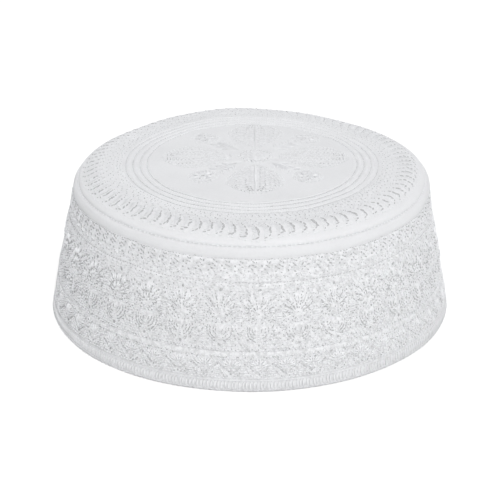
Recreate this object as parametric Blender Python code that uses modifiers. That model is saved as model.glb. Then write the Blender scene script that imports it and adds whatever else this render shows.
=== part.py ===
"""An embroidered kufi: a round cap with a flat crown, a tapered side and a stitched hem.

Metres, +Z up. The cap stands on its hem. The origin is the middle of the hem circle.
"""

import math

import bpy

# Driving dimensions
HEM_RADIUS = 0.093
SHOULDER_START_RADIUS = 0.0822
HEIGHT = 0.0693
SHOULDER_ROUNDING = 0.0132
CROWN_RISE = 0.0019
SEAM_HEIGHT = 0.0636
HEM_HEIGHT = 0.0046
WALL = 0.002
HEM_WALL = 0.0026
GAP = 0.0003

# The crown sits a little to the right of the hem and towards the front
LEAN_X = 0.0009
LEAN_Y = -0.0011

# Lines of stitching that press a shallow groove into the cloth
GROOVE_DEPTH = 0.0004
GROOVE_HALF_WIDTH = 0.0009
SIDE_GROOVES = {
    "flower_field_top": 0.0470,
    "zigzag_top": 0.0188,
}
CROWN_GROOVES = {
    "medallion_ring": 0.0470,
    "stitch_rings_outer": 0.0590,
    "crescent_ring_inner": 0.0665,
}
PLAIN_BAND_EDGE_HEIGHT = 0.0579

# Where the crown is sewn to the side, the cloth dips over a short lip
SEAM_DIP = 0.0006
SEAM_LIP = 0.0012

# Fineness of the faceted solids
SEGMENTS = 72
SHOULDER_STEP_DEG = 13.0
CROWN_STEP = 0.016
CLEAR_OF_GROOVE = 0.003

# Colours
WHITE_COTTON = (0.86, 0.87, 0.88, 1.0)
COTTON_ROUGHNESS = 0.85

SHOULDER_CENTRE_RADIUS = SHOULDER_START_RADIUS - SHOULDER_ROUNDING
SHOULDER_CENTRE_HEIGHT = HEIGHT - SHOULDER_ROUNDING
SIDE_LEAN = math.atan2(HEM_RADIUS - SHOULDER_START_RADIUS, SHOULDER_CENTRE_HEIGHT)


def clear_scene():
    for obj in list(bpy.data.objects):
        bpy.data.objects.remove(obj)


def new_collection(name):
    collection = bpy.data.collections.new(name)
    bpy.context.scene.collection.children.link(collection)
    return collection


def cloth_material(name):
    material = bpy.data.materials.new(name)
    material.use_nodes = True
    shader = material.node_tree.nodes["Principled BSDF"]
    shader.inputs["Base Color"].default_value = WHITE_COTTON
    shader.inputs["Roughness"].default_value = COTTON_ROUGHNESS
    shader.inputs["Metallic"].default_value = 0.0
    return material


def side_point(height, sink=0.0):
    """(radius, height) on the tapered side, sunk along its normal."""
    radius = HEM_RADIUS - height * math.tan(SIDE_LEAN)
    return radius - sink * math.cos(SIDE_LEAN), height - sink * math.sin(SIDE_LEAN)


def shoulder_point(angle, sink=0.0):
    """(radius, height) on the round shoulder. The angle is 0 at the side and 90 degrees at the crown."""
    reach = SHOULDER_ROUNDING - sink
    return (
        SHOULDER_CENTRE_RADIUS + reach * math.cos(angle),
        SHOULDER_CENTRE_HEIGHT + reach * math.sin(angle),
    )


def crown_point(radius, sink=0.0):
    """(radius, height) on the crown, which rises slightly to its middle."""
    share = radius / SHOULDER_CENTRE_RADIUS
    return radius, HEIGHT + CROWN_RISE * (1 - share**2) - sink


def groove(point, place, half_width):
    """Three points across a groove, in the order in which the place grows."""
    return [
        point(place - half_width),
        point(place, GROOVE_DEPTH),
        point(place + half_width),
    ]


def shoulder_angle(height):
    return math.asin((height - SHOULDER_CENTRE_HEIGHT) / SHOULDER_ROUNDING)


def arc_between(first, last, sink=0.0):
    """Points along the shoulder from one angle to another, either way round."""
    steps = math.ceil(math.degrees(abs(last - first)) / SHOULDER_STEP_DEG)
    return [shoulder_point(first + (last - first) * i / steps, sink) for i in range(steps + 1)]


def seam_lip(seam, away):
    """The two ends of a panel at the seam, where the cloth dips: first the edge, then where it is full."""
    lip = away * SEAM_LIP / SHOULDER_ROUNDING
    edge = seam + away * GAP / 2 / (SHOULDER_ROUNDING - WALL)
    return edge, edge + lip


def crown_section():
    """The crown cut open: out along its top, over the shoulder to the seam, and back inside."""
    edge, full = seam_lip(shoulder_angle(SEAM_HEIGHT), 1)
    rings = CROWN_GROOVES.values()
    plain = [i * CROWN_STEP for i in range(int(SHOULDER_CENTRE_RADIUS / CROWN_STEP) + 1)]
    top = [
        crown_point(radius)
        for radius in plain
        if all(abs(radius - ring) > CLEAR_OF_GROOVE for ring in rings)
    ]
    for ring in rings:
        top += groove(crown_point, ring, GROOVE_HALF_WIDTH)
    outside = sorted(top) + arc_between(math.pi / 2, full) + [shoulder_point(edge, SEAM_DIP)]
    inside = arc_between(edge, math.pi / 2, WALL)
    inside += [crown_point(radius, WALL) for radius in plain[::-2]]
    return outside + inside


def side_section():
    """The side cut open: down its outside from the seam to the hem band, and back up inside."""
    edge, full = seam_lip(shoulder_angle(SEAM_HEIGHT), -1)
    band_edge = shoulder_angle(PLAIN_BAND_EDGE_HEIGHT)
    half_angle = GROOVE_HALF_WIDTH / SHOULDER_ROUNDING
    outside = [shoulder_point(edge, SEAM_DIP)]
    outside += arc_between(full, band_edge + 2 * half_angle)
    outside += groove(shoulder_point, band_edge, half_angle)[::-1]
    outside.append(shoulder_point(0.0))
    for height in SIDE_GROOVES.values():
        outside += groove(side_point, height, GROOVE_HALF_WIDTH)[::-1]
    outside.append(side_point(HEM_HEIGHT + GAP))
    inside = [side_point(HEM_HEIGHT + GAP, WALL)]
    inside += arc_between(0.0, edge, WALL)
    return outside + inside


def hem_section():
    """The hem band cut open: square to the side at its top, flat where the cap stands on it."""
    proud = (HEM_WALL - WALL) / 2
    outer_top = side_point(HEM_HEIGHT, -proud)
    inner_top = side_point(HEM_HEIGHT, HEM_WALL - proud)
    bulge = side_point(HEM_HEIGHT / 2, -1.5 * proud)
    foot_outer = (side_point(0.0)[0], 0.0)
    foot_inner = (foot_outer[0] - HEM_WALL, 0.0)
    return [outer_top, bulge, foot_outer, foot_inner, inner_top]


def section_object(name, line, ring, collection):
    """A section in the XZ plane. A ring's section is closed; the crown's starts and ends on the axis."""
    mesh = bpy.data.meshes.new(name)
    points = [(radius, 0.0, height) for radius, height in line]
    edges = [(i, i + 1) for i in range(len(points) - 1)]
    if ring:
        edges.append((len(points) - 1, 0))
    mesh.from_pydata(points, edges, [])
    obj = bpy.data.objects.new(name, mesh)
    collection.objects.link(obj)
    return obj


def turn(obj):
    screw = obj.modifiers.new("turn", "SCREW")
    screw.axis = "Z"
    screw.angle = math.tau
    screw.steps = SEGMENTS
    screw.render_steps = SEGMENTS
    screw.use_merge_vertices = True
    screw.merge_threshold = 0.00001
    screw.use_smooth_shade = True


def lean_cage(collection):
    """A lattice round the whole cap whose top is moved, so that every piece leans alike."""
    height = HEIGHT + CROWN_RISE
    width = 2.4 * HEM_RADIUS
    lattice = bpy.data.lattices.new("lean_cage")
    lattice.points_u = 2
    lattice.points_v = 2
    lattice.points_w = 2
    lattice.interpolation_type_u = "KEY_LINEAR"
    lattice.interpolation_type_v = "KEY_LINEAR"
    lattice.interpolation_type_w = "KEY_LINEAR"
    for point in lattice.points:
        if point.co.z > 0:
            point.co_deform.x += LEAN_X / width
            point.co_deform.y += LEAN_Y / width
    cage = bpy.data.objects.new("lean_cage", lattice)
    cage.location = (0.0, 0.0, height / 2)
    cage.scale = (width, width, height)
    cage.hide_render = True
    collection.objects.link(cage)
    return cage


def lean(obj, cage):
    modifier = obj.modifiers.new("lean", "LATTICE")
    modifier.object = cage


def build():
    clear_scene()
    cap = new_collection("kufi")
    guides = new_collection("guides")
    guides.hide_render = True
    cage = lean_cage(guides)

    pieces = [
        section_object("crown_panel", crown_section(), False, cap),
        section_object("side_band", side_section(), True, cap),
        section_object("hem_band", hem_section(), True, cap),
    ]
    for piece in pieces:
        turn(piece)
        lean(piece, cage)
        piece.data.materials.append(cloth_material(piece.name))


build()
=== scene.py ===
"""The looks of an embroidered kufi: cotton shells, embroidery laid stitch by stitch, and a white studio.

The pattern is worked out in millimetres on the cap's skin. A place on the skin is (angle, run):
the angle from the front towards the cap's left, and the run up from the hem along the side,
over the shoulder and in to the middle of the crown.
"""

import math

import bpy
import numpy as np
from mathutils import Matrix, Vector


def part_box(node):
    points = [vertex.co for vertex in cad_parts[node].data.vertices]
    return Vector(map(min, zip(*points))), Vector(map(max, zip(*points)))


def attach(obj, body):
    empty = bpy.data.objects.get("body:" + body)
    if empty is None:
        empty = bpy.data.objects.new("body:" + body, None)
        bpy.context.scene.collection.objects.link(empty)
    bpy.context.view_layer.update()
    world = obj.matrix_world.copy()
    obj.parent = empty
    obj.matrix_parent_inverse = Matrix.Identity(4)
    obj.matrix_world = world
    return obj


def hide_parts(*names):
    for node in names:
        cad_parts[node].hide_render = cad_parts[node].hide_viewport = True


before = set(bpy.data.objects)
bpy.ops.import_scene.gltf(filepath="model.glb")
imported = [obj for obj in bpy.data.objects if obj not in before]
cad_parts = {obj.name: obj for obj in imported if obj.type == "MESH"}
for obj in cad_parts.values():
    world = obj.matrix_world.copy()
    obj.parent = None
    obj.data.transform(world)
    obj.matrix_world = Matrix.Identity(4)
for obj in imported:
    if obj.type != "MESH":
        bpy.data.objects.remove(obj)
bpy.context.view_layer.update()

MM = 0.001
TURN = 2 * math.pi

# The cap's form, from the boxes of the model's parts where they give it
HEM_LOW, HEM_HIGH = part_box("hem_band")
_, CROWN_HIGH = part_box("crown_panel")
HEM_RADIUS = (HEM_HIGH[0] - HEM_LOW[0]) / 2 / MM
MIDDLE_HEIGHT = CROWN_HIGH[2] / MM
CROWN_RISE = 1.9
CROWN_HEIGHT = MIDDLE_HEIGHT - CROWN_RISE
ROUNDING = 13.2
SHOULDER_RADIUS = 82.2
WALL = 2.0
HEM_WALL = 2.6
HEM_HEIGHT = 4.6
SEAM_HEIGHT = 63.6
GAP = 0.06
LEAN_X = 0.9
LEAN_Y = -1.1

FLAT_RADIUS = SHOULDER_RADIUS - ROUNDING
ARC_HEIGHT = CROWN_HEIGHT - ROUNDING
SIDE_LEAN = math.atan2(HEM_RADIUS - SHOULDER_RADIUS, ARC_HEIGHT)
SIDE_END = ARC_HEIGHT / math.cos(SIDE_LEAN)
SHOULDER_END = SIDE_END + ROUNDING * math.pi / 2
MIDDLE = SHOULDER_END + FLAT_RADIUS

# How often each zone repeats round the cap, at what radius, and where the first repeat is
FIELD_RADIUS = 87.0
ZIGZAG_RADIUS = 91.0
FIELD_REPEATS = 32
FIELD_START = math.radians(2.3)
FIELD_PITCH = TURN * FIELD_RADIUS / FIELD_REPEATS
FINE_REPEATS = 90
FINE_START = math.radians(1.0)
ZIGZAG_REPEATS = 48
ZIGZAG_PITCH = TURN * ZIGZAG_RADIUS / ZIGZAG_REPEATS
HEM_REPEATS = 372
HEM_EDGE_SHADE_STITCHES = 240
SIDE_LINE_STITCHES = 360
SEAM_STITCHES = 240
SEED_REPEATS = 280
SEED_HOLE_REPEATS = 150

# Spacing round the crown's stitched rings
LINE_SPACING = 2.4
RIB_SPACING = 1.15
RING_HOLE_SPACING = 1.75

# Heights above the hem where the side's zones lie
ZIGZAG_LOW = 5.6
ZIGZAG_NODE = 7.75
ZIGZAG_RISE = 4.5
ZIGZAG_HIGH = 17.6
FAN_FOOT = 34.2
CUP_MIDDLE = 27.6
ROSETTE_HEIGHTS = (40.3, 26.0)
DIAMOND_HEIGHT = 33.0
EYELET_HEIGHTS = (45.0, 21.0)
FIELD_HIGH = 48.1
BAND_EDGE = 58.6

# Radii on the crown
CRESCENT_OUTER = 75.8
CRESCENT_INNER = 64.2
RING_RADII = (48.3, 51.5, 54.8, 58.1)
LINE_RADII = (46.9, CRESCENT_INNER)
SEED_RADII = (59.7, 61.2, 62.7)
SEED_HOLE_RADII = (60.4, 61.9)
MEDALLION_SHIFT = (1.5, 4.5)
LEAF_BASE = 9.0
LEAF_TIP = 44.5
LEAF_HALF_WIDTH = 13.3
LEAF_FULLEST = 0.6
FLORET_DISTANCE = 33.5
FLORET_RADIUS = 6.8

# How finely cloth and holes are divided, and how far a hole's ends lie off the cloth
SIDE_COLUMNS = 600
CROWN_COLUMNS = 480
CLOTH_ROWS = 104
INSIDE_ROWS = 16
HEM_ROWS = 22
HOLE_SIDES = 5
HOLE_TOP = 0.14
HOLE_BOTTOM = -0.20

RANDOM = np.random.default_rng(11)


# Places on the skin

def profile(run):
    """(radius, height, outward part and upward part of the normal) at a run along the skin."""
    bend = (run - SIDE_END) / ROUNDING
    inward = np.clip(MIDDLE - run, 0, None)
    parts = [run < SIDE_END, run < SHOULDER_END]
    radii = [HEM_RADIUS - run * math.sin(SIDE_LEAN), FLAT_RADIUS + ROUNDING * np.cos(bend)]
    heights = [run * math.cos(SIDE_LEAN), ARC_HEIGHT + ROUNDING * np.sin(bend)]
    crown_height = CROWN_HEIGHT + CROWN_RISE * (1 - (inward / FLAT_RADIUS) ** 2)
    crown_tilt = math.pi / 2 - 2 * CROWN_RISE * inward / FLAT_RADIUS**2
    tilt = np.select(parts, [SIDE_LEAN, bend], crown_tilt)
    radius, height = np.select(parts, radii, inward), np.select(parts, heights, crown_height)
    return radius, height, np.cos(tilt), np.sin(tilt)


def run_at_height(height):
    """The run of a height on the side or on the shoulder."""
    bend = np.arcsin(np.clip((height - ARC_HEIGHT) / ROUNDING, 0, 1))
    return np.where(height < ARC_HEIGHT, height / math.cos(SIDE_LEAN), SIDE_END + ROUNDING * bend)


def run_at_radius(radius):
    """The run of a radius on the crown or on the shoulder."""
    bend = np.arccos(np.clip((radius - FLAT_RADIUS) / ROUNDING, 0, 1))
    return np.where(radius < FLAT_RADIUS, MIDDLE - radius, SIDE_END + ROUNDING * bend)


SEAM_RUN = run_at_height(SEAM_HEIGHT)
BAND_RUN = run_at_height(BAND_EDGE)

# How far the forms under the embroidery stand off the cloth, and the zigzag line sinks in
FIELD_RISE = 0.40
ZIGZAG_DEPTH = 0.42
MEDALLION_RISE = 0.45

# Lines where stitching pulls the cloth down: run, depth, half width
GROOVES = (
    (run_at_height(HEM_HEIGHT + 0.6), 0.40, 0.55),
    (run_at_height(ZIGZAG_HIGH), 0.45, 0.70),
    (run_at_height(FIELD_HIGH), 0.25, 0.55),
    (BAND_RUN, 0.25, 0.60),
    (SEAM_RUN, 0.30, 0.75),
    (run_at_radius(CRESCENT_INNER), 0.20, 0.60),
) + tuple((run_at_radius(radius), 0.44, 0.50) for radius in RING_RADII)

# Plain strips that stand a little full between their lines: first run, last run, height
PUFFS = (
    (BAND_RUN, SEAM_RUN, 0.50),
    (SEAM_RUN, run_at_radius(CRESCENT_OUTER + 1.0), 0.45),
)


def swell(share):
    """0 at both ends of a zone and 1 in its middle."""
    return np.sin(math.pi * np.clip(share, 0, 1))


def dome(distance):
    """A low round swelling: 1 at distance 0, and 0 from distance 1 on."""
    return np.sqrt(np.clip(1 - distance**2, 0, 1))


def bell(distance):
    """A soft swelling: 1 at distance 0, and next to nothing from distance 2 on."""
    return np.exp(-(distance**2))


def between(number, low, high):
    return (number > low) & (number < high)


def leaf_shape(share):
    """A leaf's half width at a share of its length, as a share of its widest."""
    grow = np.clip(share / LEAF_FULLEST, 0, 1)
    fade = np.clip((1 - share) / (1 - LEAF_FULLEST), 0, 1)
    return np.sin(math.pi / 2 * np.minimum(grow, fade))


def across_repeat(angle, repeats, start, pitch):
    """Millimetres from the middle of the nearest repeat."""
    turns = (angle - start) * repeats / TURN
    return (turns - np.round(turns)) * pitch


def across_field(angle, start=FIELD_START):
    return across_repeat(angle, FIELD_REPEATS, start, FIELD_PITCH)


def across_zigzag(angle):
    return across_repeat(angle, ZIGZAG_REPEATS, FIELD_START, ZIGZAG_PITCH)


def field_forms(angle, height):
    """How much of a full form lies under a place of the flower field, from 0 to 1."""
    across = across_field(angle)
    aside = across_field(angle, FIELD_START + math.pi / FIELD_REPEATS)
    fan = dome(np.hypot(across / 6.0, (height - FAN_FOOT - 3.6) / 5.4))
    cup = dome(np.hypot(across / 5.4, (height - CUP_MIDDLE + 2.4) / 4.4))
    diamond = dome(np.abs(aside) / 3.2 + np.abs(height - DIAMOND_HEIGHT) / 3.1)
    rosettes = [dome(np.hypot(aside, height - middle) / 2.6) for middle in ROSETTE_HEIGHTS]
    return np.maximum.reduce([fan, cup, diamond, *rosettes])


def zigzag_lines(angle, height):
    """1 on the zigzag line and 0 away from it."""
    across = np.abs(across_zigzag(angle))
    line = ZIGZAG_NODE + ZIGZAG_RISE * across / (ZIGZAG_PITCH / 2)
    return bell((height - line) * 0.8 / 0.55)


def crown_forms(angle, radius):
    """How much of a leaf or floret of the medallion lies under a place of the crown."""
    across = radius * np.sin(angle) - MEDALLION_SHIFT[0]
    forward = -radius * np.cos(angle) - MEDALLION_SHIFT[1]
    forms = [dome(np.hypot(across, forward) / 8.6)]
    for quarter in range(4):
        turn = quarter * math.pi / 2
        reach = across * math.cos(turn) + forward * math.sin(turn)
        aside = -across * math.sin(turn) + forward * math.cos(turn)
        share = (reach - LEAF_BASE) / (LEAF_TIP - LEAF_BASE)
        width = LEAF_HALF_WIDTH * leaf_shape(share) + 0.01
        forms.append(dome(np.abs(aside) / width) * between(share, 0, 1) * leaf_shape(share))
        turn = turn + math.pi / 4
        away_x = across - FLORET_DISTANCE * math.cos(turn)
        away_y = forward - FLORET_DISTANCE * math.sin(turn)
        forms.append(dome(np.hypot(away_x, away_y) / FLORET_RADIUS) * 0.8)
    return np.maximum.reduce(forms)


def zones(angle, run):
    """Where each kind of pattern lies: shares from 0 to 1 for field, zigzag band and crown."""
    radius, height, _, _ = profile(run)
    field = between(height, ZIGZAG_HIGH + 0.8, FIELD_HIGH - 0.8) & (run < SIDE_END)
    zigzag = between(height, ZIGZAG_LOW, ZIGZAG_HIGH) & (run < SIDE_END)
    return (
        np.where(field, field_forms(angle, height), 0),
        np.where(zigzag, zigzag_lines(angle, height), 0),
        np.where(run > SHOULDER_END, crown_forms(angle, radius), 0),
    )


def relief(angle, run):
    """How far the cloth stands off the plain form."""
    angle, run = np.broadcast_arrays(angle, run)
    rise = np.zeros(run.shape)
    for place, depth, half_width in GROOVES:
        rise = rise - depth * bell((run - place) / half_width)
    for first, last, puff in PUFFS:
        rise = rise + puff * swell((run - first) / (last - first)) ** 0.85
    field, zigzag, crown = zones(angle, run)
    rise = rise + FIELD_RISE * field - ZIGZAG_DEPTH * zigzag + MEDALLION_RISE * crown
    slow = 0.10 * np.sin(7 * angle + 0.31 * run) + 0.08 * np.sin(13 * angle - 0.23 * run + 1.0)
    return rise + slow


def painted_stitch_shade(angle, run):
    """How much painted shade the cloth gets: the shade between stitches where it is worked, and the shade
    in its stitched grooves; 0 where it is plain.
    """
    angle, run = np.broadcast_arrays(angle, run)
    radius, height, _, _ = profile(run)
    above_side = run >= SIDE_END + 3.0
    field, zigzag, crown = zones(angle, run)
    # Painted shade between stitches: strongest on the worked side zones, weaker on the crown's crescents
    # and medallion.
    work = np.where(height < HEM_HEIGHT, 0.6, 0.0)
    work = np.where(between(height, ZIGZAG_LOW, ZIGZAG_HIGH), 0.8 + 0.2 * zigzag, work)
    work = np.where(between(height, ZIGZAG_HIGH, FIELD_HIGH), 0.8 + 0.2 * field, work)
    work = np.where(between(height, FIELD_HIGH, BAND_EDGE - 0.3), 0.8, work)
    work = np.where(above_side, 0.2 * between(radius, CRESCENT_INNER, CRESCENT_OUTER + 1.0), work)
    work = np.maximum(work, 0.45 * (crown > 0.1))
    # Painted shade in each stitched groove, darker for a deeper groove.
    for place, depth, half_width in GROOVES:
        work = np.maximum(work, 1.2 * depth * bell((run - place) / half_width))
    return np.clip(work, 0, 1)


def tone(run):
    """How light the cloth is at each height: a little greyer towards the hem, and lightest on the band
    below the seam.
    """
    height = profile(run)[1]
    steps = (0.0, 5.0, 17.0, 30.0, 47.0, 50.0, 58.0, 60.0, 65.5, 69.5, 72.0)
    levels = (0.92, 0.95, 0.995, 1.03, 1.06, 1.08, 1.08, 0.985, 0.965, 0.985, 0.985)
    return np.interp(height, steps, levels)


def apart(angle, middle):
    """The angle from a middle angle, the short way round."""
    return (angle - middle + math.pi) % TURN - math.pi


def sag(angle, height):
    """How far the soft rim of the crown stands above the plain form, lower at the back's corners."""
    rise = 0.6 * bell(apart(angle, 3.35) / 0.28)
    rise = rise - 1.4 * bell(apart(angle, 2.45) / 0.38)
    rise = rise - 0.8 * bell(apart(angle, 4.05) / 0.30)
    return rise * np.clip(height / CROWN_HEIGHT, 0, 1) ** 4


def sway(angle, height):
    """The soft unevenness of the whole cap: how far the skin moves outwards."""
    share = np.clip(height / CROWN_HEIGHT, 0, 1)
    waves = 0.35 * np.sin(3 * angle + 0.6) + 0.22 * np.sin(5 * angle + 2.1)
    right_shoulder = 0.9 * bell(apart(angle, 1.75) / 0.45) * bell((height - 62.0) / 7.0)
    return waves * share + right_shoulder


def skin(angle, run, lift=0.0):
    """Points on the skin, in millimetres, lifted off the relief along the plain form's normal."""
    radius, height, outward, upward = profile(run)
    off = relief(angle, run) + lift
    out = radius + off * outward + sway(angle, height) * outward
    on_rim = np.clip(radius / FLAT_RADIUS, 0, 1) ** 3
    up = height + off * upward + sag(angle, height) * on_rim
    share = up / MIDDLE_HEIGHT
    return np.stack(
        [out * np.sin(angle) + LEAN_X * share, -out * np.cos(angle) + LEAN_Y * share, up + 0 * out],
        axis=-1,
    )


def skin_normal(angle, run):
    outward, upward = profile(run)[2:]
    return np.stack([outward * np.sin(angle), -outward * np.cos(angle), upward + 0 * angle], axis=-1)


def boldness(angle, run):
    """How bold the work stands: faint at the crown's back, boldest at the left of the side. It scales the
    stitches' height and the needle holes' size, so more painted hole shade falls on the left, where the
    light grazes.
    """
    back = 0.5 - 0.5 * np.cos(angle)
    left = bell(apart(angle, -1.25) / 0.55)
    return np.where(run > SEAM_RUN + 2.0, 1.08 - 0.75 * back, 1 + 0.35 * left)


# Meshes from arrays

def new_object(name, data):
    obj = bpy.data.objects.new(name, data)
    bpy.context.scene.collection.objects.link(obj)
    return obj


def mesh_object(name, points, faces, corner_uv, material, smooth=True):
    """A mesh object from points in millimetres, quads or triangles, and a UV pair for each corner."""
    mesh = bpy.data.meshes.new(name)
    mesh.from_pydata(points * MM, [], [face for part in faces for face in part.tolist()])
    mesh.polygons.foreach_set("use_smooth", np.full(len(mesh.polygons), smooth))
    layer = mesh.uv_layers.new(name="threads")
    layer.data.foreach_set("uv", np.asarray(corner_uv, np.float32).ravel())
    mesh.materials.append(material)
    mesh.validate()
    return new_object(name, mesh)


def set_values(obj, name, values):
    """Stores a number for each point of the cloth, for its material."""
    attribute = obj.data.attributes.new(name, "FLOAT", "POINT")
    attribute.data.foreach_set("value", np.asarray(values, np.float32).ravel())


def turned_grid(rows, columns):
    """A turned shell's column angles, its points' numbers and those of the points beside."""
    index = np.arange(rows * columns).reshape(rows, columns)
    return (np.arange(columns) * TURN / columns)[None, :], index, np.roll(index, -1, axis=1)


def ring_shell(name, runs, lifts, material):
    """A turned cloth shell whose section is a closed loop through the given runs and lifts."""
    runs, lifts = runs[:, None], lifts[:, None]
    angle, index, across = turned_grid(len(runs), SIDE_COLUMNS)
    below, below_across = np.roll(index, -1, axis=0), np.roll(across, -1, axis=0)
    quads = np.stack([index, below, below_across, across], -1).reshape(-1, 4)
    u, v = np.broadcast_arrays(angle * HEM_RADIUS, runs)
    across_u, below_v = u + TURN / SIDE_COLUMNS * HEM_RADIUS, np.roll(v, -1, axis=0)
    corners = (u, v), (u, below_v), (across_u, below_v), (across_u, v)
    corner_uv = np.stack([np.stack(corner, -1) for corner in corners], axis=2).reshape(-1, 2)
    points = skin(angle, runs, lifts).reshape(-1, 3)
    obj = mesh_object(name, points, [quads], corner_uv * MM, material)
    set_values(obj, "painted_stitch_shade", painted_stitch_shade(angle, runs))
    set_values(obj, "tone", tone(runs) + 0 * angle)
    return obj


def cap_shell(name, runs, lifts, material):
    """A turned cloth shell whose section starts and ends on the cap's axis."""
    runs, lifts = runs[:, None], lifts[:, None]
    angle, index, across = turned_grid(len(runs), CROWN_COLUMNS)
    grid = skin(angle, runs, lifts)
    quads = np.stack([index[:-1], index[1:], across[1:], across[:-1]], -1).reshape(-1, 4)
    top = np.stack([np.full(CROWN_COLUMNS, index.size), index[0], across[0]], -1)
    bottom = np.stack([np.full(CROWN_COLUMNS, index.size + 1), across[-1], index[-1]], -1)
    triangles = np.concatenate([top, bottom])
    points = np.concatenate([grid.reshape(-1, 3), grid[:1].mean(1), grid[-1:].mean(1)])
    corners = np.concatenate([quads.ravel(), triangles.ravel()])
    obj = mesh_object(name, points, [quads, triangles], points[corners, :2] * MM, material)
    for kind, values in (("painted_stitch_shade", painted_stitch_shade(angle, runs)), ("tone", tone(runs) + 0 * angle)):
        values = values.ravel()
        set_values(obj, kind, np.concatenate([values, values[:1], values[-1:]]))
    return obj


# Stitches

def unit(vectors):
    return vectors / (np.linalg.norm(vectors, axis=-1, keepdims=True) + 1e-9)


def closed_rods(name, groups, material, smooth):
    """One object of closed rods, from groups of points and UV pairs in (rods, rings, sides)."""
    tubes, ends, count = [], [], 0
    for points, _ in groups:
        index = count + np.arange(points[..., 0].size).reshape(points.shape[:3])
        beside = np.roll(index, -1, axis=2)
        quads = np.stack([index[:, :-1], index[:, 1:], beside[:, 1:], beside[:, :-1]], -1)
        tubes.append(quads.reshape(-1, 4))
        ends += [index[:, 0], index[:, -1, ::-1]]
        count += index.size
    faces = [np.concatenate(tubes), np.concatenate(ends)]
    corners = np.concatenate([part.ravel() for part in faces])
    points = np.concatenate([points.reshape(-1, 3) for points, _ in groups])
    uv = np.concatenate([uv.reshape(-1, 2) for _, uv in groups])
    return mesh_object(name, points, faces, uv[corners], material, smooth)


def lay_stitches(name, groups, material, sides=5):
    """One object of many stitches.

    A group is (path, width, height): path is (stitches, points, 2) places on the skin.
    Each stitch is a rod that dives into the cloth at both ends.
    """
    rods = []
    turn = TURN * (np.arange(sides) + 0.5) / sides
    for path, width, height in groups:
        angle, run = path[..., 0], path[..., 1]
        arch = np.sin(math.pi * np.linspace(0, 1, path.shape[1])) ** 0.5
        taper = 0.42 + 0.58 * arch
        bold = boldness(angle[:, :1], run[:, :1])
        lift = (arch * 0.72 - 0.22) * height * bold
        centre = skin(angle, run, lift)
        tangent = unit(np.gradient(centre, axis=1))
        across = unit(np.cross(tangent, skin_normal(angle, run)))
        normal = np.cross(across, tangent)
        half_width = (width / 2 * taper)[:, None, None]
        half_height = (height / 2 * taper * bold)[..., None, None]
        ring = (
            centre[:, :, None]
            + across[:, :, None] * half_width * np.cos(turn)[:, None]
            + normal[:, :, None] * half_height * np.sin(turn)[:, None]
        )
        length = np.linalg.norm(np.diff(centre, axis=1), axis=-1).cumsum(axis=1)
        length = np.concatenate([np.zeros((len(path), 1)), length], axis=1)
        # Out of painted shade: the rod's top away from its diving ends. The underside and the ends take
        # the thread's painted flank shade.
        unshaded_share = (0.5 + 0.5 * np.sin(turn))[None, :] * (0.25 + 0.75 * arch)[:, None]
        rods.append((ring, np.stack(np.broadcast_arrays(length[:, :, None], unshaded_share[None]), -1)))
    return closed_rods(name, rods, material, smooth=True)


def lay_holes(name, groups, material):
    """Needle holes in painted shade: low closed dark ovals that sit just above the cloth, under the
    threads, for the shadow inside each hole.

    A group is (path, radius): path is (holes, 2, 2), the two ends of each hole on the skin.
    """
    rods = []
    turn = TURN * np.arange(HOLE_SIDES) / HOLE_SIDES
    for path, radius in groups:
        number = len(path)
        middle = path.mean(axis=1)
        bold = boldness(middle[:, :1], middle[:, 1:])
        size = radius * RANDOM.uniform(0.75, 1.15, (number, 1)) * bold
        reach = (path[:, 1] - path[:, 0]) / 2 * bold
        ring_radius = np.maximum(profile(middle[:, 1])[0], 1.0)
        reach = np.stack([reach[:, 0] * ring_radius, reach[:, 1]], -1)
        reach = reach + RANDOM.normal(0, 0.4 * radius, (number, 2))
        length = np.linalg.norm(reach, axis=1, keepdims=True)
        axis = reach / length
        oval = (size + length) * np.cos(turn), size * np.sin(turn)
        across = oval[0] * axis[:, :1] - oval[1] * axis[:, 1:]
        up = oval[0] * axis[:, 1:] + oval[1] * axis[:, :1]
        around = middle[:, :1] + across / ring_radius[:, None]
        up = middle[:, 1:] + up
        ring = np.stack([skin(around, up, HOLE_TOP), skin(around, up, HOLE_BOTTOM)], 1)
        rods.append((ring, ring[..., :2] * MM))
    return closed_rods(name, rods, material, smooth=False)


# Designs: stitches as (stitches, points, 2) in flat millimetres

def direction(degrees):
    return np.array([math.cos(math.radians(degrees)), math.sin(math.radians(degrees))])


def straight(start, end, steps=3):
    """Straight stitches from each start to each end."""
    share = np.linspace(0, 1, steps)[None, :, None]
    start, end = np.atleast_2d(start)[:, None, :], np.atleast_2d(end)[:, None, :]
    return start + (end - start) * share


def along(curve, stitch, gap, steps=3):
    """Stitches end to end along a curve."""
    curve = np.asarray(curve, float)
    reach = np.concatenate([[0], np.cumsum(np.linalg.norm(np.diff(curve, axis=0), axis=1))])
    count = max(int(round(reach[-1] / (stitch + gap))), 1)
    start = np.arange(count) * reach[-1] / count + gap / 2
    share = np.linspace(0, 1, steps)[None, :]
    place = start[:, None] + (reach[-1] / count - gap) * share
    return np.stack([np.interp(place, reach, curve[:, axis]) for axis in (0, 1)], -1)


def arc(centre, radius, first, last, points=24):
    """A curve along a circle, from one angle to another in degrees."""
    angle = np.radians(np.linspace(first, last, points))
    return np.asarray(centre) + radius * np.stack([np.cos(angle), np.sin(angle)], -1)


def rays(centre, inner, outer, count, start=0.0):
    """Short stitches round a point."""
    angle = math.radians(start) + np.arange(count) * TURN / count
    ray = np.stack([np.cos(angle), np.sin(angle)], -1)
    return straight(np.asarray(centre) + ray * inner, np.asarray(centre) + ray * outer)


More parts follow.
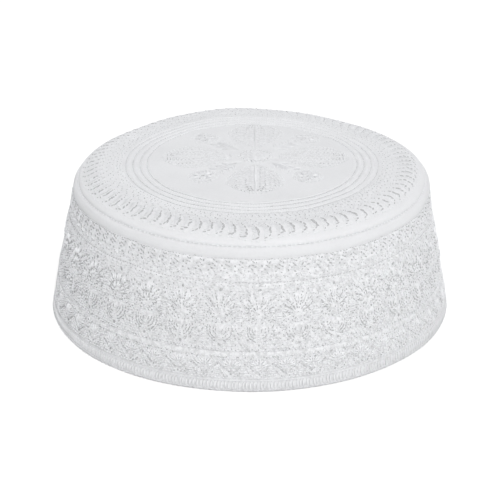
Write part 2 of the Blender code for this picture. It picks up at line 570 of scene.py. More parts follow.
def bar(base, tip, half_width, pitch, slant, point=0.3):
    """Satin stitches across a bar or leaf from its base to its tip, slanted by degrees."""
    base, tip = np.asarray(base, float), np.asarray(tip, float)
    length = np.linalg.norm(tip - base)
    axis = (tip - base) / length
    side = np.array([-axis[1], axis[0]])
    count = max(int(round(length / pitch)), 1)
    share = (np.arange(count) + 0.5) / count
    half = half_width * swell(share) ** point
    middle = base + axis * (share * length)[:, None]
    lean = math.radians(slant)
    reach = (side * math.cos(lean) + axis * math.sin(lean)) * half[:, None]
    return straight(middle - reach, middle + reach)


def petal(base, degrees, length, half_width, threads=3):
    """Threads laid lengthwise in a narrow petal."""
    axis, side = direction(degrees), direction(degrees + 90)
    share = np.linspace(0, 1, 4)
    spread = np.linspace(-1, 1, threads)[:, None] * half_width
    across = spread * np.sin(math.pi * (0.12 + 0.76 * share))
    middle = np.asarray(base) + axis * (share * length)[:, None]
    return middle[None] + side * across[..., None]


def slits(places, reach):
    """Drawn-out holes: each runs from its place by the reach both ways."""
    places = np.atleast_2d(places)
    return np.stack([places - reach, places + reach], axis=1)


def mirrored(design):
    """A design and its mirror image."""
    design = np.asarray(design, float)
    return np.concatenate([design, design * np.array([-1.0, 1.0])])


def turned(design, degrees):
    """A design turned anticlockwise about its origin."""
    cosine, sine = direction(degrees)
    return design @ np.array([[cosine, sine], [-sine, cosine]])


class Pattern:
    """One repeat of a pattern: satin threads, line stitches, and needle holes with their radius."""

    def __init__(self):
        self.satin, self.line, self.holes = [], [], []

    def add_holes(self, radius, places):
        """Round holes at places (holes, 2), or drawn-out ones at paths (holes, 2, 2)."""
        places = np.asarray(places, float)
        if places.ndim < 3:
            places = slits(places, (0.0, 0.0))
        self.holes.append((places, radius))

    def add_turned(self, other, degrees):
        self.satin.extend(turned(path, degrees) for path in other.satin)
        self.line.extend(turned(path, degrees) for path in other.line)
        self.holes.extend((turned(path, degrees), radius) for path, radius in other.holes)

    def holes_on(self, place):
        """The needle holes where they go, as groups for lay_holes."""
        return [(place(path), radius) for path, radius in self.holes]


def new_pattern():
    """An empty pattern, and the three calls that add to it."""
    pattern = Pattern()
    return pattern, pattern.satin.append, pattern.line.append, pattern.add_holes


def placed(paths, place, width, height):
    """Threads where they go, as groups for lay_stitches."""
    return [(place(path), width, height) for path in paths]


# Where designs go on the skin

def repeated(design, repeats, start, amount):
    """Every repeat's middle angle and its design, each stitch moved a little by hand."""
    path = np.repeat(design[None], repeats, axis=0)
    path = path + RANDOM.normal(0, 1.6 * amount, (repeats, 1, 1, 2))
    path = path + RANDOM.normal(0, amount, (repeats, len(design), 1, 2))
    middle = np.repeat(start + np.arange(repeats) * TURN / repeats, len(design))
    return middle[:, None], path.reshape((-1,) + design.shape[1:])


def on_side(design, repeats, start, amount):
    """A design in (across, height), repeated round the side, as places on the skin."""
    middle, path = repeated(design, repeats, start, amount)
    run = run_at_height(path[..., 1])
    return np.stack([middle + path[..., 0] / profile(run)[0], run], -1)


def on_ring(design, repeats, start, amount):
    """A design in (across, radius), repeated round the crown, as places on the skin."""
    middle, path = repeated(design, repeats, start, amount)
    return np.stack([middle + path[..., 0] / path[..., 1], run_at_radius(path[..., 1])], -1)


def on_crown(design):
    """A design in plan about the medallion's middle, as places on the skin."""
    path = design + RANDOM.normal(0, 0.1, (len(design), 1, 2)) + np.array(MEDALLION_SHIFT)
    radius = np.hypot(path[..., 0], path[..., 1])
    angle = np.unwrap(np.arctan2(path[..., 0], -path[..., 1]), axis=1)
    return np.stack([angle, run_at_radius(radius)], -1)


def in_field(design):
    return on_side(design, FIELD_REPEATS, FIELD_START, 0.1)


def in_zigzag(design):
    return on_side(design, ZIGZAG_REPEATS, FIELD_START, 0.1)


def in_fine_row(design):
    return on_side(design, FINE_REPEATS, FINE_START, 0.08)


def in_crescent_ring(design):
    """The crescent ring wanders a little outwards at the front and on the cap's right."""
    path = on_ring(design, FINE_REPEATS, FINE_START, 0.08)
    path[..., 1] -= 2.4 * bell(apart(path[..., 0], 0.02) / 0.10)
    path[..., 1] -= 1.8 * bell(apart(path[..., 0], -1.4) / 0.6)
    return path


def running_line(run, count, gap_share, wander=0.06):
    """Running stitches round the cap at one run."""
    angle = np.arange(count) * TURN / count + RANDOM.normal(0, 0.08 * TURN / count, count)
    step = TURN / count * (1 - gap_share)
    around = angle[:, None] + np.linspace(-0.5, 0.5, 3) * step
    return np.stack(np.broadcast_arrays(around, run + RANDOM.normal(0, wander, (count, 1))), -1)


def filled_rows(low, high, pitch, length, slant, across, keep):
    """Rows of short stitches round the side, where keep(angle, height) says so.

    They slant by degrees, the other way on the other side of a repeat's middle.
    """
    rows = []
    for number, height in enumerate(np.arange(low, high, pitch)):
        radius = profile(run_at_height(height))[0]
        count = int(TURN * radius / (length + 0.5))
        angle = (np.arange(count) + 0.5 * (number % 2)) * TURN / count
        angle = angle + RANDOM.normal(0, 0.15, count) / radius
        lean = np.radians(slant * np.sign(across(angle)) + RANDOM.normal(0, 8, count))
        reach = np.linspace(-0.5, 0.5, 3) * length
        place = height + RANDOM.normal(0, 0.12, count)
        around = angle[:, None] + reach * np.cos(lean)[:, None] / radius
        up = run_at_height(place[:, None] + reach * np.sin(lean)[:, None])
        rows.append(np.stack([around, up], -1)[keep(angle, height)])
    return np.concatenate(rows)


# The pattern, zone by zone

def flower_field():
    """A fan of short petals over a cup of nested arcs, with rosettes and a diamond between."""
    pattern, satin, line, holes = new_pattern()
    half = FIELD_PITCH / 2
    foot = np.array((0.0, FAN_FOOT))
    for degrees, first, second in ((90, 3.0, 3.0), (66, 3.0, 3.0), (43, 2.8, 2.4), (19, 2.6, 1.9)):
        ray = direction(degrees)
        inner = straight(foot + ray * 2.5, foot + ray * (1.4 + first), 4)
        outer = petal(foot + ray * (2.4 + first), degrees, second, 0.6, 2)
        gap = slits(foot + ray * (2.0 + first), direction(degrees + 90) * 0.25)
        if degrees < 90:
            inner, outer, gap = mirrored(inner), mirrored(outer), mirrored(gap)
        satin(inner)
        satin(outer)
        holes(0.20, gap)
    for degrees, last in ((78, 8.4), (55, 8.0), (31, 7.0), (7, 6.0)):
        ray = direction(degrees)
        gaps = slits(foot + ray * np.arange(2.7, last, 1.3)[:, None], ray * 0.25)
        holes(0.22, mirrored(gaps[:1]))
        holes(0.28, mirrored(gaps[1:]))
    for radius in (2.2, 3.5, 4.8, 6.1):
        side = arc((0.0, CUP_MIDDLE), radius, 22, -84 + 62 / radius)
        line(mirrored(along(side, 1.25, 0.3)))
        gaps = along(arc((0.0, CUP_MIDDLE), radius - 0.65, 18, -84 + 70 / radius), 0.7, 0.6, 2)
        holes(0.27, mirrored(gaps))
    satin(bar((0, 22.4), (0, 27.9), 0.75, 0.95, 12))
    holes(0.40, mirrored([(4.9, 23.0), (2.6, 21.9)]))
    speckle = [
        (5.9, 38.4), (5.2, 40.6), (3.6, 42.6), (6.9, 35.6), (6.7, 33.2), (5.7, 31.0), (6.9, 29.4),
        (7.4, 27.2), (6.9, 25.2), (6.3, 43.6), (4.6, 44.6), (1.9, 43.4), (7.6, 41.8), (7.3, 20.8),
    ]
    holes(0.22, mirrored(slits(speckle, (0.15, 0.2))))
    holes(0.26, [(0.0, FAN_FOOT + 0.6)])
    calyx = [(1.3, 32.2), (2.6, 32.8), (3.6, 33.9), (4.4, 31.9), (3.0, 31.2), (1.4, 30.8), (5.0, 35.4)]
    holes(0.32, mirrored(calyx))
    satin(mirrored(straight([(0.4, 31.6), (2.0, 31.4)], [(1.7, 31.7), (3.2, 32.3)])))
    satin(mirrored(straight([(0.9, 33.2), (3.4, 32.6)], [(2.2, 33.6), (4.3, 33.4)])))
    for height in ROSETTE_HEIGHTS:
        satin(rays((half, height), 0.7, 1.9, 8, 10))
        holes(0.40, (half, height))
        holes(0.20, along(arc((half, height), 2.5, 20, 340), 0.4, 1.3, 2))
    diamond_low, diamond_high = (half, DIAMOND_HEIGHT - 2.8), (half, DIAMOND_HEIGHT + 2.8)
    satin(bar(diamond_low, diamond_high, 2.5, 0.9, 0, 1.0))
    for up in (1, -1):
        tip = (half, DIAMOND_HEIGHT + up * 3.5)
        outline = [(half - 3.4, DIAMOND_HEIGHT), tip, (half + 3.4, DIAMOND_HEIGHT)]
        holes(0.20, along(outline, 0.5, 0.9, 2))
    for height in EYELET_HEIGHTS:
        holes(0.58, (0.2, height))
        line(rays((0.2, height), 0.85, 1.7, 9, 20))
    for x in np.arange(-3, 3) * 2.84 + 1.42:
        holes(0.26, (x, 18.3))
        holes(0.22, (x + 1.42, 18.9))
        line(straight((x - 0.9, 46.7), (x + 0.9, 47.3)))
        holes(0.20, (x + 1.42, 47.0))
    return pattern


def zigzag_band():
    """A zigzag line of needle holes, with small fans standing in its valleys."""
    pattern, satin, _, holes = new_pattern()
    half = ZIGZAG_PITCH / 2
    climb = [(0.6, ZIGZAG_NODE + 0.45), (half - 0.6, ZIGZAG_NODE + ZIGZAG_RISE - 0.45)]
    holes(0.17, mirrored(along(climb, 0.6, 1.0, 2)))
    holes(0.34, [(0.0, ZIGZAG_NODE), (half, ZIGZAG_NODE + ZIGZAG_RISE)])
    for rise in (-1.05, 1.05):
        start, end = (0.35, ZIGZAG_NODE + rise), (half - 0.35, ZIGZAG_NODE + ZIGZAG_RISE + rise)
        satin(mirrored(along([start, end], 1.6, 0.25)))
    satin(along(arc((0.0, 11.3), 1.5, 215, 325), 1.3, 0.2))
    satin(petal((0.0, 11.2), 90, 4.0, 0.6, 2))
    for degrees in (55, 22):
        satin(mirrored(petal(direction(degrees) * 1.2 + (0, 11.0), degrees, 3.2, 0.6, 2)))
    holes(0.26, mirrored([(0.85, 12.6), (1.2, 13.8), (2.3, 12.1)]))
    holes(0.34, mirrored([(3.1, 15.2)]))
    holes(0.26, mirrored([(3.8, 14.4), (2.3, 15.6)]))
    satin(rays((half, 15.4), 0.5, 1.6, 7, 14))
    holes(0.34, (half, 15.4))
    satin(bar((half, 6.6), (half, 10.0), 1.5, 0.9, 0, 0.7))
    holes(0.28, mirrored([(half - 2.2, 8.5), (half - 2.9, 7.3), (1.6, 6.7)]))
    return pattern


def hatch_row():
    """A small ladder of needle holes and bars, then a slanted satin bar, over short dashes."""
    pattern, satin, line, holes = new_pattern()
    holes(0.35, [(0.75, 57.2), (-2.5, 55.5), (-2.65, 53.2)])
    holes(0.29, slits([(-1.35, 54.3), (0.2, 55.3)], (0.35, -0.15)))
    holes(0.23, slits([(-0.5, 57.6), (-0.9, 56.0), (-0.2, 52.6)], (0.35, -0.25)))
    holes(0.20, slits([(-2.9, 58.5), (-1.4, 58.5), (0.1, 58.5), (1.6, 58.5)], (0.35, 0.0)))
    start = [(-2.7, 56.6), (-2.1, 54.9), (-2.3, 53.6), (-0.8, 54.9), (-0.9, 53.5), (-0.6, 56.8)]
    end = [(-1.2, 57.0), (-0.7, 55.2), (-1.0, 53.5), (0.3, 54.3), (0.4, 53.6), (0.3, 56.2)]
    line(straight(start, end))
    satin(bar((1.6, 52.9), (2.3, 56.4), 0.95, 0.85, 25))
    satin(straight([(2.1, 56.9), (2.0, 57.6)], [(2.9, 57.3), (2.9, 57.9)]))
    satin(straight([(-2.9, 51.4), (-2.8, 52.1)], [(-0.5, 51.5), (-0.7, 52.2)]))
    satin(straight([(1.2, 52.1), (2.2, 51.9)], [(2.0, 50.8), (3.0, 50.5)]))
    line(straight([(-2.6, 50.2), (-0.7, 50.2), (1.0, 50.0)], [(-1.1, 50.4), (0.5, 50.1), (2.2, 49.5)]))
    line(straight([(-2.7, 49.1), (-0.9, 49.2), (0.8, 49.0)], [(-1.3, 49.2), (0.4, 49.1), (2.3, 48.9)]))
    holes(0.20, [(0.7, 51.5), (1.1, 50.6), (-3.0, 50.6), (-0.9, 49.7)])
    holes(0.13, slits([(-2.3, 48.1), (-0.7, 48.1), (0.8, 48.1), (2.3, 48.1)], (0.4, 0.0)))
    return pattern


def crescent_ring():
    """A bowed row of needle holes with slanted satin inside the bow and short bright dashes."""
    pattern, satin, line, holes = new_pattern()
    holes(0.36, slits((0.9, 75.0), (0.45, -0.25)))
    holes(0.28, slits((-0.6, 75.7), (0.35, -0.1)))
    holes(0.60, slits((1.5, 71.7), (0.1, 0.7)))
    holes(0.46, slits([(0.75, 69.7), (1.55, 73.5)], (0.2, 0.5)))
    holes(0.24, [(-0.3, 68.0), (-0.9, 67.0), (-1.8, 62.5), (0.5, 63.8), (1.9, 64.9)])
    radius = np.arange(67.6, 74.6, 0.95)
    bow = 1.5 - 0.09 * (radius - 72.3) ** 2
    start = np.stack([bow - 2.7, radius + 0.8], -1)
    end = np.stack([bow - 0.65, radius - 0.4], -1)
    satin(straight(start, end))
    satin(straight([(1.5, 69.0), (1.6, 68.3)], [(2.5, 68.7), (2.4, 68.0)]))
    satin(straight([(-1.7, 76.5), (0.5, 76.7)], [(-0.1, 76.9), (2.1, 76.4)]))
    line(straight([(-1.6, 74.6), (-1.4, 74.0)], [(0.3, 74.4), (0.2, 73.9)]))
    line(straight([(-1.0, 66.2), (0.4, 66.9), (1.3, 66.6)], [(0.2, 65.7), (1.4, 67.4), (2.4, 66.4)]))
    line(straight([(-2.2, 65.0), (-0.6, 64.6), (1.0, 65.5)], [(-1.2, 64.4), (0.4, 65.0), (2.2, 65.6)]))
    return pattern


def crown_leaf():
    """A large pointed leaf: a satin vein, feathered threads to both edges, and a double edge."""
    pattern, satin, line, holes = new_pattern()
    length = LEAF_TIP - LEAF_BASE
    share = np.linspace(0, 1, 60)
    for inset, stitch in ((0.0, 1.5), (1.5, 1.3)):
        width = np.clip(LEAF_HALF_WIDTH * leaf_shape(share) - inset, 0, None)
        edge = np.stack([width, LEAF_BASE + length * share], -1)
        line(mirrored(along(edge[3:-2], stitch, 0.35)))
    satin(bar((0, LEAF_BASE + 2), (0, LEAF_TIP - 1.5), 0.8, 1.1, 25))
    for place in np.arange(0.10, 0.90, 0.05):
        width = LEAF_HALF_WIDTH * leaf_shape(place) - 2.4
        if width < 1.6:
            continue
        start = np.array([1.3, LEAF_BASE + length * place])
        vein = start + np.linspace(0, 1, 8)[:, None] * (width, width * 0.28)
        line(mirrored(along(vein, 1.8, 0.5)))
        if place > 0.5:
            holes(0.22, mirrored(vein[2::3] + (0.0, 0.9)))
    tip = [(x + 0.3 * row, LEAF_TIP - 4.0 - 1.4 * row) for row in range(4) for x in (1.1, 2.4)]
    holes(0.28, mirrored(tip))
    return pattern


def crown_floret():
    """A small round flower on a stalk: rings of line stitches, satin petals and an eye of painted hole
    shade.
    """
    pattern, satin, line, holes = new_pattern()
    middle = np.array((0.0, FLORET_DISTANCE))
    line(along(arc(middle, FLORET_RADIUS, 0, 360, 60), 1.5, 0.4))
    line(along(arc(middle, FLORET_RADIUS - 1.3, 0, 360, 60), 1.3, 0.4))
    for degrees in range(20, 380, 60):
        satin(petal(middle + direction(degrees) * 1.5, degrees, 3.4, 0.8))
        holes(0.26, middle + direction(degrees + 30) * 3.4)
    holes(0.42, middle)
    satin(petal((0.0, 11.0), 90, 14.0, 1.3))
    for height in (15.0, 19.0, 23.0):
        satin(mirrored(petal((1.2, height), 38, 4.2, 0.7, 2)))
    return pattern


def medallion():
    pattern, satin, line, holes = new_pattern()
    leaf, floret = crown_leaf(), crown_floret()
    for degrees in (0, 90, 180, 270):
        pattern.add_turned(leaf, degrees)
        pattern.add_turned(floret, degrees + 45)
    for radius in (3.2, 6.0, 7.6):
        line(along(arc((0, 0), radius, 0, 360, 60), 1.4, 0.35))
    satin(rays((0, 0), 3.8, 5.5, 16))
    satin(rays((0, 0), 0.7, 2.7, 9))
    holes(0.24, arc((0, 0), 6.8, 0, 345, 20))
    return pattern


# Materials

class Nodes:
    """The node tree of a material or world, with short calls to add nodes."""

    def __init__(self, owner):
        owner.use_nodes = True
        self.owner, self.tree = owner, owner.node_tree
        self.coordinates = self.add("ShaderNodeTexCoord", {}).outputs

    def feed(self, node, inputs):
        """Fills a node's inputs, by name or number, with other nodes' outputs or plain values."""
        for key, item in inputs.items():
            if isinstance(item, bpy.types.NodeSocket):
                self.tree.links.new(item, node.inputs[key])
            else:
                node.inputs[key].default_value = item

    def add(self, kind, inputs, **settings):
        node = self.tree.nodes.new(kind)
        for key, value in settings.items():
            setattr(node, key, value)
        self.feed(node, inputs)
        return node

    def finish(self, looks):
        """The material, with its shader's inputs filled."""
        self.feed(self.tree.nodes["Principled BSDF"], looks)
        return self.owner

    def across_and_up(self):
        """The two numbers of the UV map."""
        split = self.add("ShaderNodeSeparateXYZ", {0: self.coordinates["UV"]})
        return split.outputs[0], split.outputs[1]

    def attribute(self, name):
        return self.add("ShaderNodeAttribute", {}, attribute_name=name).outputs["Fac"]

    def math(self, operation, *items):
        return self.add("ShaderNodeMath", dict(enumerate(items)), operation=operation).outputs[0]

    def mix(self, factor, first, second):
        inputs = {0: factor, 6: first, 7: second}
        return self.add("ShaderNodeMix", inputs, data_type="RGBA").outputs[2]

    def noise(self, scale, detail):
        inputs = {"Vector": self.coordinates["Object"], "Scale": scale, "Detail": detail}
        return self.add("ShaderNodeTexNoise", inputs).outputs["Fac"]

    def ramp(self, factor, low, high, low_colour, high_colour):
        node = self.add("ShaderNodeValToRGB", {"Fac": factor})
        for stop, place, colour in zip(node.color_ramp.elements, (low, high), (low_colour, high_colour)):
            stop.position = place
            stop.color = (*colour, 1)
        return node.outputs["Color"]

    def bump(self, height, distance, strength):
        inputs = {"Height": height, "Distance": distance, "Strength": strength}
        return self.add("ShaderNodeBump", inputs).outputs["Normal"]


WEAVE_PITCH = 0.34
TWIST_PITCH = 0.55

# Threads: lightness on top, lightness on the flanks, where shade is painted, roughness
THREADS = {
    "satin": (0.975, 0.84, 0.45),
    "line": (0.98, 0.82, 0.5),
    "crown": (0.92, 0.86, 0.5),
    "low": (0.965, 0.80, 0.5),
    "hem": (0.80, 0.66, 0.6),
    # Painted shade: the darker thread along the hem's bottom edge.
    "edge_shade": (0.74, 0.66, 0.7),
}


def shade(level):
    """A faintly cool white of a given lightness."""
    return (level * 0.985, level * 0.993, level * 1.015)


def cotton_material(name, plain, worked):
    """Plain-woven cotton: a fine weave, slubs, slow changes of tone, and painted shade where it is worked,
    mottled for the shade between stitches.
    """
    nodes = Nodes(bpy.data.materials.new(name))
    threads = TURN / (WEAVE_PITCH * MM)
    warp, weft = [
        nodes.math("SINE", nodes.math("MULTIPLY", place, threads)) for place in nodes.across_and_up()
    ]
    weave = nodes.math("MULTIPLY", warp, weft)
    slub = nodes.noise(900.0, 4.0)
    slow = nodes.noise(45.0, 3.0)
    shade_mottle = nodes.noise(620.0, 2.0)
    height = nodes.math("ADD", nodes.math("MULTIPLY", weave, 0.25), slub)
    mixed = nodes.math("ADD", nodes.math("MULTIPLY", slow, 0.6), nodes.math("MULTIPLY", slub, 0.4))
    plain_tone = nodes.ramp(mixed, 0.36, 0.62, shade(plain * 0.955), shade(plain))
    # Painted shade: the darker, mottled worked tone stands for the shade between stitches and in grooves.
    shaded_ground_tone = nodes.ramp(shade_mottle, 0.38, 0.58, shade(worked * 0.80), shade(worked * 1.05))
    colour = nodes.mix(nodes.attribute("painted_stitch_shade"), plain_tone, shaded_ground_tone)
    scaled = {0: colour, "Scale": nodes.attribute("tone")}
    return nodes.finish({
        "Base Color": nodes.add("ShaderNodeVectorMath", scaled, operation="SCALE").outputs["Vector"],
        "Normal": nodes.bump(height, 0.00025, 0.8),
        "Roughness": 0.88,
        "Sheen Weight": 0.15,
        "Sheen Roughness": 0.45,
        "Specular IOR Level": 0.2,
    })


def thread_material(name, top, flank, roughness):
    """Plied embroidery thread: its own white along its top, painted shade on its flanks and diving ends,
    and a fine twist.
    """
    nodes = Nodes(bpy.data.materials.new(name))
    along_thread, around = nodes.across_and_up()
    turns = nodes.math("MULTIPLY", along_thread, TURN / TWIST_PITCH)
    twist = nodes.math("SINE", nodes.math("ADD", turns, nodes.math("MULTIPLY", around, math.pi)))
    fleck = nodes.noise(260.0, 3.0)
    light = nodes.ramp(fleck, 0.35, 0.62, shade(top * 0.95), shade(top))
    # Painted shade for the flanks and ends of each stitch.
    dark = nodes.ramp(fleck, 0.35, 0.62, shade(flank * 0.9), shade(flank))
    unshaded_share = nodes.ramp(around, 0.25, 0.72, (0, 0, 0), (1, 1, 1))
    return nodes.finish({
        "Base Color": nodes.mix(unshaded_share, dark, light),
        "Normal": nodes.bump(twist, 0.00006, 0.7),
        "Roughness": roughness,
        "Sheen Weight": 0.1,
        "Sheen Roughness": 0.35,
        "Specular IOR Level": 0.4,
    })


def hole_shade_material(name, level):
    """Painted shade: the dark grey of a needle hole's shadowed inside, laid on ovals above the cloth."""
    nodes = Nodes(bpy.data.materials.new(name))
    colour = nodes.ramp(nodes.noise(1200.0, 2.0), 0.3, 0.7, shade(level * 0.8), shade(level * 1.2))
    return nodes.finish({"Base Color": colour, "Roughness": 1.0, "Specular IOR Level": 0.0})


def floor_material():
    """A pale floor lit a little from inside, like a light table."""
    nodes = Nodes(bpy.data.materials.new("pale_floor"))
    return nodes.finish({
        "Base Color": nodes.ramp(nodes.noise(2.0, 2.0), 0.3, 0.7, (0.96, 0.96, 0.96), (0.98, 0.98, 0.98)),
        "Roughness": 0.9,
        "Specular IOR Level": 0.0,
        "Emission Color": (1.0, 1.0, 1.0, 1.0),
        "Emission Strength": FLOOR_GLOW,
    })


# Building

def cloth_runs(first, last, count):
    """Even rows from one run down to another, with closer ones across each stitched groove."""
    runs = list(np.linspace(first, last, count))
    for place, _, half_width in GROOVES:
        runs += [place + step * half_width for step in (-1.5, -0.9, -0.45, 0.0, 0.45, 0.9, 1.5)]
    runs = np.array(sorted(run for run in runs if last <= run <= first))
    keep = np.append(np.diff(runs) > 0.12, True)
    keep[0] = True
    return runs[keep][::-1]


def wall_section(first, last, rows):
    """Runs and lifts of a cloth wall's section: down its outside and back up its inside."""
    outside = cloth_runs(first, last, rows)
    inside = np.linspace(last, first, INSIDE_ROWS)
    lifts = np.concatenate([np.zeros(len(outside)), np.full(len(inside), -WALL)])
    return np.concatenate([outside, inside]), lifts


def build_cloth(cotton):
    """The crown and side as thin walls, and the hem as a rounded band."""
    section = wall_section(MIDDLE - 0.4, SEAM_RUN + GAP / 2, CLOTH_ROWS)
    crown = cap_shell("crown_cloth", *section, cotton)
    hem_top = run_at_height(HEM_HEIGHT)
    section = wall_section(SEAM_RUN - GAP / 2, hem_top + GAP, CLOTH_ROWS + 2)
    side = ring_shell("side_cloth", *section, cotton)

    turn = np.linspace(0, TURN, HEM_ROWS, endpoint=False)
    squared_sine = np.sign(np.sin(turn)) * np.abs(np.sin(turn)) ** 0.45
    squared_cosine = np.sign(np.cos(turn)) * np.abs(np.cos(turn)) ** 0.45
    hem_runs = hem_top / 2 * (1 + squared_sine)
    hem_lifts = 0.1 - HEM_WALL / 2 * (1 - squared_cosine)
    hem = ring_shell("hem_cloth", hem_runs[::-1], hem_lifts[::-1], cotton)
    return crown, side, hem


def build_side(thread, hole):
    """The embroidery of the side, and the painted shade of its needle holes."""
    field, zigzag, hatch = flower_field(), zigzag_band(), hatch_row()
    satin, line, low = thread["satin"], thread["line"], thread["low"]

    def open_field(angle, height):
        eyelets = [np.hypot(across_field(angle), height - place) for place in EYELET_HEIGHTS]
        return (field_forms(angle, height) < 0.12) & (np.minimum(*eyelets) > 1.9)

    def open_zigzag(angle, height):
        return zigzag_lines(angle, height) < 0.10

    field_fill = filled_rows(18.45, 46.4, 1.15, 1.3, 25, across_field, open_field)
    zigzag_fill = filled_rows(6.3, 17.0, 1.2, 1.2, 35, across_zigzag, open_zigzag)
    lines = np.concatenate([
        running_line(run_at_height(height), SIDE_LINE_STITCHES, 0.35)
        for height in (ZIGZAG_HIGH, FIELD_HIGH, BAND_EDGE)
    ])
    seam = running_line(SEAM_RUN, SEAM_STITCHES, 0.3)
    pieces = [
        lay_stitches("field_satin_stitches", placed(field.satin, in_field, 0.56, 0.62), satin),
        lay_stitches("field_line_stitches", placed(field.line, in_field, 0.58, 0.55), line, 4),
        lay_stitches("field_ground_stitches", [(field_fill, 0.62, 0.66)], line, 4),
        lay_stitches("zigzag_stitches", placed(zigzag.satin, in_zigzag, 0.58, 0.52), low),
        lay_stitches("zigzag_ground_stitches", [(zigzag_fill, 0.62, 0.62)], low, 4),
        lay_stitches(
            "hatched_row_stitches",
            placed(hatch.satin, in_fine_row, 0.66, 0.6) + placed(hatch.line, in_fine_row, 0.58, 0.52),
            satin,
            4,
        ),
        lay_stitches("side_line_stitches", [(lines, 0.42, 0.32), (seam, 0.7, 0.42)], line, 4),
    ]
    groups = field.holes_on(in_field) + zigzag.holes_on(in_zigzag) + hatch.holes_on(in_fine_row)
    return pieces + [lay_holes("side_needle_holes", groups, hole)]


def build_hem(thread):
    """Upright overcast stitches round the hem band, and a line of dark thread along its edge: painted
    shade for the shadow under the hem's rounded edge.
    """
    edge_shade = running_line(0.7, HEM_EDGE_SHADE_STITCHES, -0.05, 0.03)
    upright = on_side(straight((-0.1, 0.9), (0.15, 4.75), 4), HEM_REPEATS, 0.0, 0.06)
    return [
        lay_stitches("hem_stitches", [(upright, 1.1, 0.46)], thread["hem"]),
        lay_stitches("hem_edge_shade", [(edge_shade, 0.75, 0.4)], thread["edge_shade"]),
    ]


def build_crown(thread, hole):
    """The embroidery of the crown, and the painted shade of its needle holes."""
    crescents, centre = crescent_ring(), medallion()
    crown, line = thread["crown"], thread["line"]
    rings = np.concatenate([
        running_line(run_at_radius(radius), int(TURN * radius / LINE_SPACING), 0.2)
        for radius in LINE_RADII
    ])
    ribs = np.concatenate([
        on_ring(straight((0, inner + 0.6), (0.1, outer - 0.6)), int(TURN * inner / RIB_SPACING), 0.0, 0.05)
        for inner, outer in zip(RING_RADII[:-1], RING_RADII[1:])
    ])
    seeds = np.concatenate([
        on_ring(
            straight((-0.35, radius - 0.45), (0.35, radius + 0.45)), SEED_REPEATS, 0.004 * radius, 0.08
        )
        for radius in SEED_RADII
    ])
    pieces = [
        lay_stitches(
            "crescent_stitches",
            placed(crescents.satin, in_crescent_ring, 0.62, 0.58)
            + placed(crescents.line, in_crescent_ring, 0.52, 0.48),
            crown,
            4,
        ),
        lay_stitches(
            "crown_ring_stitches",
            [(rings, 0.34, 0.30), (ribs, 0.62, 0.26), (seeds, 0.52, 0.38)],
            line,
            4,
        ),
        lay_stitches("medallion_satin_stitches", placed(centre.satin, on_crown, 0.66, 0.55), crown),
        lay_stitches("medallion_line_stitches", placed(centre.line, on_crown, 0.60, 0.48), line, 4),
    ]
    groups = crescents.holes_on(in_crescent_ring) + centre.holes_on(on_crown)
    for radius in SEED_HOLE_RADII:
        groups.append((on_ring(slits((0.0, radius), (0.1, 0.2)), SEED_HOLE_REPEATS, 0.0, 0.15), 0.16))
    for radius in RING_RADII:
        count = int(TURN * radius / RING_HOLE_SPACING)
        groups.append((on_ring(slits((0.0, radius), (0.8, 0.0)), count, 0.0, 0.02), 0.115))
    return pieces + [lay_holes("crown_needle_holes", groups, hole)]


# The studio

CAMERA_ELEVATION = math.radians(24.17)
CAMERA_DISTANCE = 0.930
CAMERA_TARGET_HEIGHT = 0.0335
PHOTO_SIZE = 500
PHOTO_FOCAL = 1984.5
PHOTO_TARGET_ROW = 233.5
SENSOR = 36.0
FLOOR_GLOW = 0.06
FLOOR_HEIGHT = -0.0002
SKY_LOW = 0.235
SKY_RISE = 0.465
SKY_BACK = 0.25
SUN_STRENGTH = 2.21
SUN_ELEVATION = math.radians(50)
SUN_TURN = math.radians(12)
SUN_WIDTH = math.radians(9)


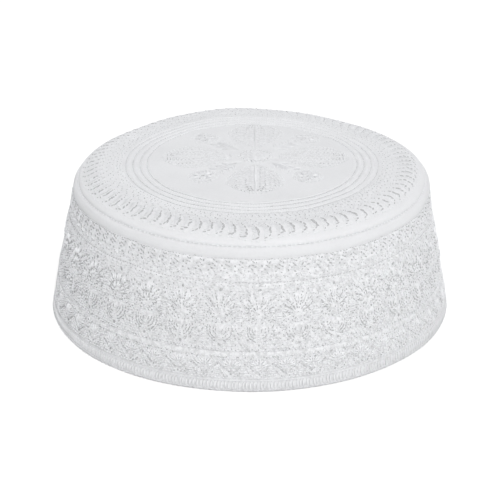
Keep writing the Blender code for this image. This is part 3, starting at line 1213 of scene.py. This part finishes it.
def add_camera():
    data = bpy.data.cameras.new("photo_camera")
    data.sensor_width = SENSOR
    data.lens = PHOTO_FOCAL / PHOTO_SIZE * SENSOR
    camera = new_object("photo_camera", data)
    bpy.context.scene.camera = camera
    back = Vector((0, -math.cos(CAMERA_ELEVATION), math.sin(CAMERA_ELEVATION)))
    camera.location = Vector((0, 0, CAMERA_TARGET_HEIGHT)) + back * CAMERA_DISTANCE
    aim_lower = math.atan((PHOTO_SIZE / 2 - PHOTO_TARGET_ROW) / PHOTO_FOCAL)
    camera.rotation_euler = (math.pi / 2 - CAMERA_ELEVATION - aim_lower, 0, 0)


def add_sun():
    """A soft sun from the viewer's right, high behind the camera."""
    data = bpy.data.lights.new("key", "SUN")
    data.energy = SUN_STRENGTH
    data.angle = SUN_WIDTH
    data.color = (1.0, 0.995, 0.985)
    level = math.cos(SUN_ELEVATION)
    towards = Vector(
        (math.sin(SUN_TURN) * level, -math.cos(SUN_TURN) * level, math.sin(SUN_ELEVATION))
    )
    new_object("key", data).rotation_euler = towards.to_track_quat("Z", "Y").to_euler()


def add_sky():
    """A white tent, brightest overhead and a little brighter behind the cap than in front."""
    world = bpy.data.worlds.new("white_tent")
    nodes = Nodes(world)
    towards = {0: nodes.coordinates["Generated"], 1: (0.0, SKY_BACK, SKY_RISE)}
    slope = nodes.add("ShaderNodeVectorMath", towards, operation="DOT_PRODUCT").outputs["Value"]
    sky = {"Color": (0.985, 0.99, 1.0, 1.0), "Strength": nodes.math("ADD", slope, SKY_LOW)}
    nodes.feed(nodes.tree.nodes["Background"], sky)
    bpy.context.scene.world = world


def add_studio():
    bpy.ops.mesh.primitive_plane_add(size=8, location=(0, 0, FLOOR_HEIGHT))
    floor = bpy.context.object
    floor.name = "floor"
    floor.data.materials.append(floor_material())
    add_sky()
    add_sun()
    bpy.context.scene.view_settings.view_transform = "Standard"


def main():
    add_camera()
    add_studio()
    cotton = cotton_material("white_cotton", 0.87, 0.86)
    thread = {name: thread_material(name + "_thread", *looks) for name, looks in THREADS.items()}
    hole = hole_shade_material("needle_hole_shade", 0.50)
    crown, side, hem = build_cloth(cotton)
    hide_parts("crown_panel")
    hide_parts("side_band")
    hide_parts("hem_band")
    work = build_side(thread, hole) + build_crown(thread, hole) + build_hem(thread)
    for piece in [crown, side, hem] + work:
        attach(piece, "root")


main()
